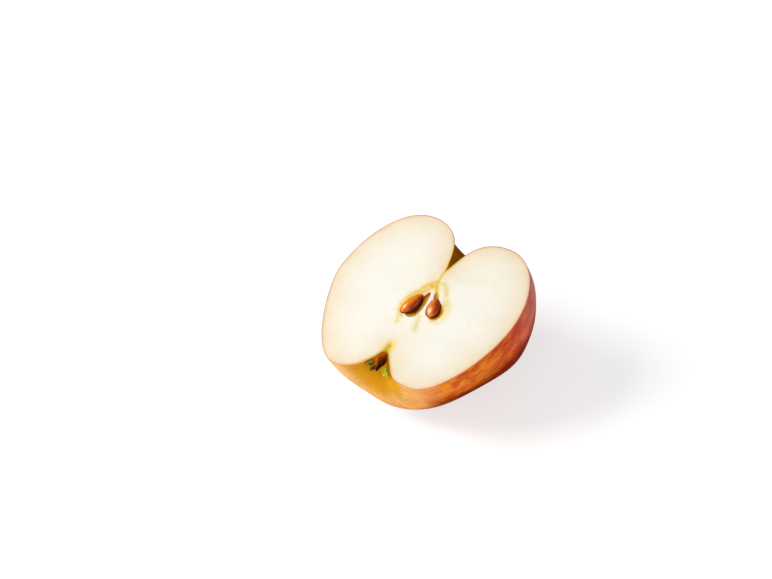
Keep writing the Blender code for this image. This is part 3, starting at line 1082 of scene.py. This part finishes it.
@dataclass(frozen=True)
class SeedCoatFinish:
    """Ripe seed coat: hard, polished by growth, chestnut brown with fine lengthwise fibres."""

    name: str = "seed_coat_chestnut"
    light: str = "#ff8a00"
    middle: str = "#c43600"
    dark: str = "#641600"
    painted_highlight: str = "#f4c4ae"
    fibre_mm: float = 0.16

    def material(self) -> bpy.types.Material:
        """Build the shader."""
        material, tree, shader = start_finish(self.name)
        value = {}
        for name in ("painted_light", "seed_around", "seed_along", "seed_painted_sheen"):
            value[name] = add_node(tree, "ShaderNodeAttribute", attribute_name=name).outputs["Fac"]
        run = add_node(tree, "ShaderNodeCombineXYZ", {"X": value["seed_around"], "Y": value["seed_along"]})
        fibres = add_node(tree, "ShaderNodeMapping", {
            "Vector": run.outputs[0], "Scale": (1 / self.fibre_mm, 0.25 / self.fibre_mm, 1.0)})
        noise = add_node(tree, "ShaderNodeTexNoise", {
            "Vector": fibres.outputs[0], "Scale": 0.5, "Detail": 3.0, "Roughness": 0.55})
        # The painted light and shade of each vertex picks the coat's colour, dark on the shaded flank and
        # light orange on the lit one
        level = add_node(tree, "ShaderNodeMath", {
            0: noise.outputs["Fac"], 1: 0.5, 2: value["painted_light"]}, operation="MULTIPLY_ADD")
        ramp = add_node(tree, "ShaderNodeValToRGB", {"Fac": level.outputs[0]}, stops=(
            (0.20, self.dark), (1.0, self.light), (0.6, self.middle)))
        bump = add_node(tree, "ShaderNodeBump", {
            "Height": noise.outputs["Fac"], "Strength": 0.15, "Distance": 0.03 * MM})
        # The polished coat throws back a warm sheen, tinted by the brown layer just under it; a pale painted
        # highlight is also laid into its colour
        feed(tree, shader, {
            "Base Color": lay_coats(tree, ramp.outputs["Color"], [(value["seed_painted_sheen"], linear(self.painted_highlight))]),
            "Normal": bump.outputs["Normal"],
            "Roughness": 0.20,
            "IOR": 1.85,
            "Specular Tint": linear("#ffd4bc"),
        })
        return material


@dataclass
class Seed:
    """A flattened teardrop seed that lies in its cell."""

    node: str
    drop: Drop
    sides: int = 64
    rings: int = 48
    flat_flank: float = 0.10
    painted_lit_flank: float = math.radians(50.0)
    painted_light_base: float = 0.30
    painted_light_strength: float = 0.70
    painted_tip_shade: float = 0.26
    end_painted_light: tuple[float, float] = (0.3, 0.1)
    # Strength, angle, place and size of the painted highlight
    sheen: float = 0.0
    sheen_angle: float = math.radians(68.0)
    sheen_place: float = 0.27
    sheen_spread: float = 0.55
    sheen_length: float = 0.13

    def build(self, matrix: Matrix, material: bpy.types.Material) -> bpy.types.Object:
        """Make the seed and dress it.

        Args:
            matrix: from the fruit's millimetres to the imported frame.
            material: the seed coat.

        Returns:
            The piece.
        """
        drop = self.drop
        along = (1 - np.cos(np.pi * np.arange(1, self.rings) / self.rings)) / 2
        angle = 2 * np.pi * np.arange(self.sides) / self.sides
        half = drop.half_width(along)[:, None]
        # One flank is flatter, where the seed lay against its neighbour
        flank = 1 - self.flat_flank * np.clip(np.cos(angle), 0.0, 1.0) ** 2
        wide = drop.width * half * np.cos(angle) * flank
        thick = drop.thickness * half * np.sin(angle)
        length = np.repeat(((along - 0.5) * drop.length)[:, None], self.sides, axis=1)
        local = np.stack([length, wide, thick], axis=-1)
        turn = np.array(drop.place())
        ends = np.array([[-drop.length / 2, 0.0, 0.0], [drop.length / 2, 0.0, 0.0]])
        draft = MeshDraft.empty()
        draft.add_tube(local @ turn[:3, :3].T + turn[:3, 3], ends @ turn[:3, :3].T + turn[:3, 3])
        # Painted light and shade: the flank towards the key light is painted paler, the far flank and the
        # tip darker
        lit = np.repeat(np.cos(angle - self.painted_lit_flank)[None, :], len(along), axis=0)
        painted_light = self.painted_light_base + self.painted_light_strength * lit - self.painted_tip_shade * along[:, None] ** 3
        # A pale painted highlight near the blunt end
        spot = np.exp(-((along[:, None] - self.sheen_place) / self.sheen_length) ** 2
                      - ((angle[None, :] - self.sheen_angle) / self.sheen_spread) ** 2)
        turned = np.repeat(angle[None, :] * 2.0, len(along), axis=0)
        values = {
            "seed_painted_sheen": np.concatenate([(self.sheen * spot).ravel(), [0.0, 0.0]]),
            "painted_light": np.concatenate([painted_light.ravel(), self.end_painted_light]),
            "seed_around": np.concatenate([turned.ravel(), [0.0, 0.0]]),
            "seed_along": np.concatenate([length.ravel(), [-drop.length / 2, drop.length / 2]]),
        }
        piece = draft.build(self.node + "_coat", matrix, 0.0, values)
        hand_over(piece, Slot.SEED_COAT, material, self.node)
        return piece


@dataclass(frozen=True)
class SepalFinish:
    """Sepal dried on the fruit: dull, felted, olive, and brown along one edge and at its tip."""

    name: str = "sepal_dried_felted"
    green: str = "#ccca28"
    grey: str = "#9a8c1c"
    brown: str = "#452a06"
    felt_mm: float = 0.35

    def material(self) -> bpy.types.Material:
        """Build the shader."""
        material, tree, shader = start_finish(self.name)
        place = add_node(tree, "ShaderNodeTexCoord").outputs["Object"]
        felt = add_node(tree, "ShaderNodeTexNoise", {
            "Vector": place, "Scale": 1 / (self.felt_mm * MM), "Detail": 4.0, "Roughness": 0.7})
        dry = add_node(tree, "ShaderNodeAttribute", attribute_name="dryness").outputs["Fac"]
        spots = add_node(tree, "ShaderNodeMapRange", {
            "Value": felt.outputs["Fac"],
            "From Min": 0.36, "From Max": 0.64, "To Min": 0.08, "To Max": 0.82})
        level = add_node(tree, "ShaderNodeMath", {0: spots.outputs["Result"], 1: dry}, operation="ADD")
        ramp = add_node(tree, "ShaderNodeValToRGB", {"Fac": level.outputs[0]}, stops=(
            (0.4, self.green), (1.0, self.brown), (0.66, self.grey)))
        bump = add_node(tree, "ShaderNodeBump", {
            "Height": felt.outputs["Fac"], "Strength": 0.6, "Distance": 0.12 * MM})
        feed(tree, shader, {
            "Base Color": ramp.outputs["Color"],
            "Normal": bump.outputs["Normal"],
            "Roughness": 0.75,
            "Specular IOR Level": 0.1,
        })
        return material


@dataclass
class Sepal:
    """A thin wavy leaf that hangs from the calyx mouth into the basin."""

    node: str
    around: float
    root: tuple[float, float]
    tip: tuple[float, float]
    width: float
    bow: float
    wave: float
    twist: float
    dryness: float
    thickness: float = 0.32
    end_half_width: float = 0.18
    broad_notch: float = 0.10
    fine_notch: float = 0.06
    cupping: float = 0.35
    vein_height: float = 0.10
    vein_reach: float = 0.18
    crumple: float = 0.07
    dark_edge: float = 0.55
    dark_tip: float = 0.2
    lengthwise: int = 40
    crosswise: int = 20

    def build(self, matrix: Matrix, back_depth: float, material: bpy.types.Material) -> bpy.types.Object:
        """Make the sepal and dress it.

        Args:
            matrix: from the fruit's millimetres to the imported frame.
            back_depth: how flat the fruit is behind the cut.
            material: the dried leaf.

        Returns:
            The piece.
        """
        angle = math.radians(self.around)
        outward = np.array((math.cos(angle), 0.0, -math.sin(angle) * back_depth))
        up = np.array((0.0, 1.0, 0.0))
        way = outward * (self.tip[0] - self.root[0]) + up * (self.tip[1] - self.root[1])
        level = np.array((math.sin(angle), 0.0, math.cos(angle)))
        twist = math.radians(self.twist)
        aside = level * math.cos(twist) + np.cross(way / np.linalg.norm(way), level) * math.sin(twist)
        # s runs from the root 0 to the tip 1, and c from one edge -1 to the other 1
        s, c = np.meshgrid(
            np.linspace(0, 1, self.lengthwise + 1), np.linspace(-1, 1, self.crosswise + 1), indexing="ij")
        reach = self.root[0] + (self.tip[0] - self.root[0]) * s
        fall = self.root[1] + (self.tip[1] - self.root[1]) * s - self.bow * np.sin(np.pi * s)
        ragged = (1 + self.broad_notch * np.sin(17.0 * s + 2.0 * np.sign(c))
                  + self.fine_notch * np.sin(41.0 * s))
        half = (self.width / 2 * (0.55 + 0.9 * s) * (1 - s ** 2) + self.end_half_width) * ragged
        lift = (self.wave * np.sin(2.6 * np.pi * s + 1.3 * c)
                - self.cupping * c * c * self.width * (1 - s) / 3)
        lift = (lift + self.vein_height * np.exp(-(c / self.vein_reach) ** 2)
                + self.crumple * np.sin(9.0 * c + 3.0 * s))
        middle = (outward * (reach + lift * 0.6)[..., None] + up * (fall + lift * 0.5)[..., None]
                  + aside * (c * half)[..., None])
        normal = np.cross(np.gradient(middle, axis=0), np.gradient(middle, axis=1))
        normal /= np.maximum(np.linalg.norm(normal, axis=-1, keepdims=True), 1e-9)
        thin = self.thickness / 2 * np.sqrt(np.clip(1 - np.abs(c) ** 4, 0.05, 1))[..., None]
        draft = MeshDraft.empty()
        upper = draft.add_points(middle + normal * thin)
        lower = draft.add_points(middle - normal * thin)
        draft.add_grid(upper)
        draft.add_grid(lower, flip=True)
        edges = [np.concatenate([side[0], side[1:, -1], side[-1, -2::-1], side[-2::-1, 0]])
                 for side in (upper, lower)]
        draft.add_grid(np.vstack(edges))
        dry = self.dryness + self.dark_edge * np.clip(c, 0.0, 1.0) ** 1.5 + self.dark_tip * s ** 3
        values = {"dryness": np.concatenate([dry.ravel(), dry.ravel()])}
        piece = draft.build(self.node + "_leaf", matrix, 0.0, values, 80.0)
        hand_over(piece, Slot.SEPAL, material, self.node)
        return piece


@dataclass(frozen=True)
class StamenFinish:
    """Stamens dried on the fruit: dull threads in painted light, rust brown on the lit side and black on the
    shaded side.
    """

    name: str = "stamen_dried_thread"
    rust: str = "#e87010"
    brown: str = "#8c3606"
    black: str = "#240c02"
    grain_mm: float = 0.4

    def material(self) -> bpy.types.Material:
        """Build the shader."""
        material, tree, shader = start_finish(self.name)
        place = add_node(tree, "ShaderNodeTexCoord").outputs["Object"]
        grain = add_node(tree, "ShaderNodeTexNoise", {
            "Vector": place, "Scale": 1 / (self.grain_mm * MM), "Detail": 3.0, "Roughness": 0.65})
        stamen_painted_light = add_node(tree, "ShaderNodeAttribute", attribute_name="stamen_painted_light").outputs["Fac"]
        level = add_node(tree, "ShaderNodeMath", {
            0: grain.outputs["Fac"], 1: 0.5, 2: stamen_painted_light}, operation="MULTIPLY_ADD")
        ramp = add_node(tree, "ShaderNodeValToRGB", {"Fac": level.outputs[0]}, stops=(
            (0.25, self.black), (0.95, self.rust), (0.55, self.brown)))
        bump = add_node(tree, "ShaderNodeBump", {
            "Height": grain.outputs["Fac"], "Strength": 0.5, "Distance": 0.1 * MM})
        feed(tree, shader, {
            "Base Color": ramp.outputs["Color"],
            "Normal": bump.outputs["Normal"],
            "Roughness": 0.7,
            "Specular IOR Level": 0.06,
        })
        return material


@dataclass
class StamenTuft:
    """The bundle of dried stamens in the calyx mouth: a lobed core with threads over it."""

    node: str = "stamen_tuft"
    depth: float = -0.3
    flatness: float = 0.75
    sides: int = 40
    core_rows: int = 30
    core_share: float = 0.8
    lobes: int = 7
    lobe_share: float = 0.12
    threads: int = 34
    thread_rows: int = 14
    thread_sides: int = 8
    thread_radius: float = 0.17
    thread_tops: tuple[float, float] = (-24.2, -22.2)
    thread_lengths: tuple[float, float] = (1.6, 4.2)
    seed: int = 21
    # Height, radius and sideways shift
    rings: tuple[tuple[float, float, float], ...] = (
        (-22.0, 0.5, 0.1),
        (-22.6, 0.9, 0.1),
        (-23.3, 1.2, 0.2),
        (-24.2, 1.65, 0.4),
        (-25.0, 1.8, 0.5),
        (-25.8, 1.65, 0.7),
        (-26.6, 1.1, 0.8),
        (-27.6, 0.85, 0.9),
        (-28.5, 0.75, 1.1),
        (-29.0, 0.4, 1.3),
    )

    def outline(self, height: np.ndarray) -> tuple[np.ndarray, np.ndarray]:
        """Radius and sideways shift of the bundle at a height."""
        table = np.array(self.rings)[::-1]
        return np.interp(height, table[:, 0], table[:, 1]), np.interp(height, table[:, 0], table[:, 2])

    def build(self, matrix: Matrix, material: bpy.types.Material) -> bpy.types.Object:
        """Make the bundle and dress it.

        Args:
            matrix: from the fruit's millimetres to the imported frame.
            material: the dried threads.

        Returns:
            The piece.
        """
        draft = MeshDraft.empty()
        draw = np.random.default_rng(self.seed)
        stamen_painted_lights: list[np.ndarray] = []
        heights = np.linspace(self.rings[0][0], self.rings[-1][0], self.core_rows)
        radius, shift = self.outline(heights)
        angle = 2 * np.pi * np.arange(self.sides) / self.sides
        swell = 1 + self.lobe_share * np.cos(self.lobes * angle)[None, :]
        lobed = self.core_share * radius[:, None] * swell
        core = np.stack([
            shift[:, None] + lobed * np.cos(angle),
            np.repeat(heights[:, None], self.sides, axis=1),
            self.depth + self.flatness * lobed * np.sin(angle)], axis=-1)
        stamen_painted_lights.append(self.strand(draft, core))
        for _ in range(self.threads):
            start = draw.uniform(*self.thread_tops)
            end = start - draw.uniform(*self.thread_lengths)
            if end < self.rings[-1][0]:
                end = self.rings[-1][0] + draw.uniform(0.0, 0.5)
            run = np.linspace(start, end, self.thread_rows)
            wide, aside = self.outline(run)
            turn = draw.uniform(0, 2 * np.pi) + np.linspace(0, draw.uniform(-0.7, 0.7), len(run))
            bulge = 0.86 + 0.12 * np.sin(np.linspace(0, np.pi, len(run))) * draw.uniform(0.2, 1.0)
            spine = np.stack([
                aside + wide * bulge * np.cos(turn), run,
                self.depth + self.flatness * wide * bulge * np.sin(turn)], axis=-1)
            thick = self.thread_radius * draw.uniform(0.7, 1.25)
            taper = thick * (0.65 + 0.5 * np.linspace(0, 1, len(run)) ** 3)
            ring = 2 * np.pi * np.arange(self.thread_sides) / self.thread_sides
            ahead = np.gradient(spine, axis=0)
            ahead /= np.linalg.norm(ahead, axis=1, keepdims=True)
            first = np.cross(ahead, (0.0, 0.0, 1.0))
            first /= np.maximum(np.linalg.norm(first, axis=1, keepdims=True), 1e-6)
            second = np.cross(ahead, first)
            shell = (spine[:, None, :] + taper[:, None, None]
                     * (first[:, None, :] * np.cos(ring)[None, :, None]
                        + second[:, None, :] * np.sin(ring)[None, :, None]))
            stamen_painted_lights.append(self.strand(draft, shell) + draw.uniform(-0.15, 0.15))
        values = {"stamen_painted_light": np.concatenate(stamen_painted_lights)}
        piece = draft.build("stamen_threads", matrix, 0.0, values, 70.0)
        hand_over(piece, Slot.STAMEN, material, self.node)
        return piece

    def strand(self, draft: MeshDraft, loops: np.ndarray) -> np.ndarray:
        """Add one closed strand of the bundle.

        Args:
            draft: the bundle so far.
            loops: places in millimetres, one row a loop.

        Returns:
            Painted light on its vertices: lighter on the side where the light falls and towards the bundle's
                top.
        """
        draft.add_tube(loops, loops[[0, -1]].mean(axis=1))
        stamen_painted_light = 0.56 - 0.38 * loops[..., 0] / 1.8 + 0.06 * (loops[..., 1] + 24.0)
        return np.concatenate([stamen_painted_light.ravel(), [stamen_painted_light[0].mean(), stamen_painted_light[-1].mean()]])


@dataclass(frozen=True)
class StudioView:
    """Camera in the photographed relation to the cut face, on a 36 mm wide sensor."""

    to_camera: tuple[float, float, float] = (0.6232, -0.2863, 0.7278)
    image_up: tuple[float, float, float] = (-0.3060, 0.7671, 0.5639)
    distance_mm: float = 900.0
    pixels_per_mm: float = 3.0024
    image_width_px: float = 772.0
    image_height_px: float = 579.0
    face_origin_px: tuple[float, float] = (423.1, 301.5)
    sensor_mm: float = 36.0

    def build(self, matrix: Matrix) -> bpy.types.Object:
        """Set the camera.

        Args:
            matrix: from the fruit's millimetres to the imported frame.

        Returns:
            The camera object.
        """
        back = Vector(self.to_camera).normalized()
        up = Vector(self.image_up)
        up = (up - back * up.dot(back)).normalized()
        right = up.cross(back)
        focal_px = self.pixels_per_mm * self.distance_mm
        aside = (self.face_origin_px[0] - self.image_width_px / 2) / self.pixels_per_mm
        below = (self.face_origin_px[1] - self.image_height_px / 2) / self.pixels_per_mm
        place = back * self.distance_mm - right * aside + up * below
        axes = Matrix((right, up, back)).transposed().to_4x4()
        turn = matrix.to_3x3().normalized().to_4x4()
        data = bpy.data.cameras.new("photo_view")
        data.sensor_width = self.sensor_mm
        data.lens = focal_px / self.image_width_px * self.sensor_mm
        data.clip_start = 0.01
        camera = bpy.data.objects.new("photo_view", data)
        bpy.context.scene.collection.objects.link(camera)
        camera.matrix_world = Matrix.Translation(matrix @ place) @ turn @ axes
        bpy.context.scene.camera = camera
        return camera


@dataclass
class Studio:
    """Pale floor and soft lights."""

    floor_size: float = 6.0
    floor_colour: str = "#c4c4c3"
    sky_strength: float = 0.17
    floor_glow: float = 0.66
    aim: tuple[float, float, float] = (0.0, 0.0, 0.02)
    # Name, place in metres, side in metres and power in watts
    softboxes: tuple[tuple[str, tuple[float, float, float], float, float], ...] = (
        ("key_softbox", (-0.74, -0.46, 0.82), 0.72, 13.2),
        ("front_softbox", (0.45, -0.95, 0.35), 1.0, 4.6),
        ("side_softbox", (1.0, 0.15, 0.30), 0.6, 1.2),
    )

    def build(self) -> None:
        """Make floor, sky and lamps."""
        half = self.floor_size / 2
        corners = [(-half, -half, 0.0), (half, -half, 0.0), (half, half, 0.0), (-half, half, 0.0)]
        mesh = bpy.data.meshes.new("studio_floor")
        mesh.from_pydata(corners, [], [(0, 1, 2, 3)])
        floor = bpy.data.objects.new("studio_floor", mesh)
        bpy.context.scene.collection.objects.link(floor)
        material, tree, shader = start_finish("matt_paper_white")
        # A light table glows a little from below, so the shadow stays soft and pale
        feed(tree, shader, {
            "Base Color": linear(self.floor_colour),
            "Roughness": 0.9,
            "Emission Color": linear("#ffffff"),
            "Emission Strength": self.floor_glow,
        })
        mesh.materials.append(material)
        world = bpy.data.worlds.new("studio_sky")
        world.use_nodes = True
        sky = world.node_tree.nodes["Background"]
        sky.inputs["Color"].default_value = linear("#ffffff")
        sky.inputs["Strength"].default_value = self.sky_strength
        bpy.context.scene.world = world
        for softbox in self.softboxes:
            self.lamp(*softbox)
        bpy.context.scene.view_settings.view_transform = "Standard"

    def lamp(self, name: str, place: tuple[float, float, float], size: float, power: float) -> None:
        """Add a square softbox that faces the fruit.

        Args:
            name: the lamp's name.
            place: where it stands, in metres.
            size: its side in metres.
            power: its power in watts.
        """
        data = bpy.data.lights.new(name, "AREA")
        data.energy = power
        data.size = size
        lamp = bpy.data.objects.new(name, data)
        bpy.context.scene.collection.objects.link(lamp)
        aim = Vector(self.aim) - Vector(place)
        lamp.location = place
        lamp.rotation_euler = aim.to_track_quat("-Z", "Y").to_euler()


LEFT_SIDE = SideOutline(
    shoulder=(17.9, 30.1), girth=(39.0, -0.2), crest=(15.9, -32.7), mouth=(1.5, -22.6),
    cavity_wall=0.18, shoulder_inner=0.90, shoulder_outer=0.59, cheek_upper=0.54,
    cheek_lower=0.20, crest_outer=0.48, crest_inner=0.70, basin_wall=0.10)
RIGHT_SIDE = SideOutline(
    shoulder=(17.2, 29.2), girth=(37.0, 3.9), crest=(16.4, -30.0), mouth=(1.7, -22.5),
    cavity_wall=0.33, shoulder_inner=0.85, shoulder_outer=0.50, cheek_upper=0.59,
    cheek_lower=0.41, crest_outer=0.52, crest_inner=0.57, basin_wall=0.95)
CELLS = (
    Drop(9.6, 5.0, 4.4, (-3.5, -2.08, -0.5), 70.9),
    Drop(11.9, 7.2, 6.3, (-1.18, -1.69, 1.52), 80.2),
    Drop(13.4, 3.9, 6.0, (0.08, -0.40, 1.55), 90.0),
    Drop(8.0, 5.05, 3.9, (5.05, -0.46, -0.55), 110.2, -6.3),
    Drop(9.2, 6.8, 5.2, (6.85, -0.95, 1.39), 108.5),
    Drop(5.4, 2.9, 5.3, (3.03, 3.92, 1.74), 124.0),
)
SEEDS = (
    Seed("seed_left", Drop(9.2, 4.65, 4.0, (-3.5, -2.08, -0.5), 70.9)),
    Seed("seed_right", Drop(7.6, 4.7, 3.5, (5.05, -0.46, -0.55), 110.2, -6.3),
         painted_light_strength=0.50, sheen=0.62),
)
SEPALS = (
    Sepal("sepal_left", 171.0, (2.1, -26.6), (4.6, -28.2), 2.0, 0.15, 0.20, 0.0, 0.28),
    Sepal("sepal_back", 136.0, (2.3, -27.1), (3.7, -28.9), 1.4, 0.20, 0.15, 0.0, 0.45),
    Sepal("sepal_right", 31.0, (3.0, -26.6), (5.5, -28.4), 3.2, 0.20, 0.25, -45.0, -0.10),
)


def main() -> None:
    """Build every piece in order."""
    logging.basicConfig(level=logging.INFO, format="%(name)s: %(message)s")
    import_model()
    form = FruitForm(LEFT_SIDE, RIGHT_SIDE)
    matrix = form.matrix()
    StudioView().build(matrix)
    Studio().build()
    CutFlesh(form, CELLS).build(matrix, CutFleshFinish())
    Peel(form).build(matrix, PeelFinish())
    seed_coat = SeedCoatFinish().material()
    for seed in SEEDS:
        seed.build(matrix, seed_coat)
    leaf = SepalFinish().material()
    for sepal in SEPALS:
        sepal.build(matrix, form.back_depth, leaf)
    StamenTuft().build(matrix, StamenFinish().material())


if __name__ == "__main__":
    main()
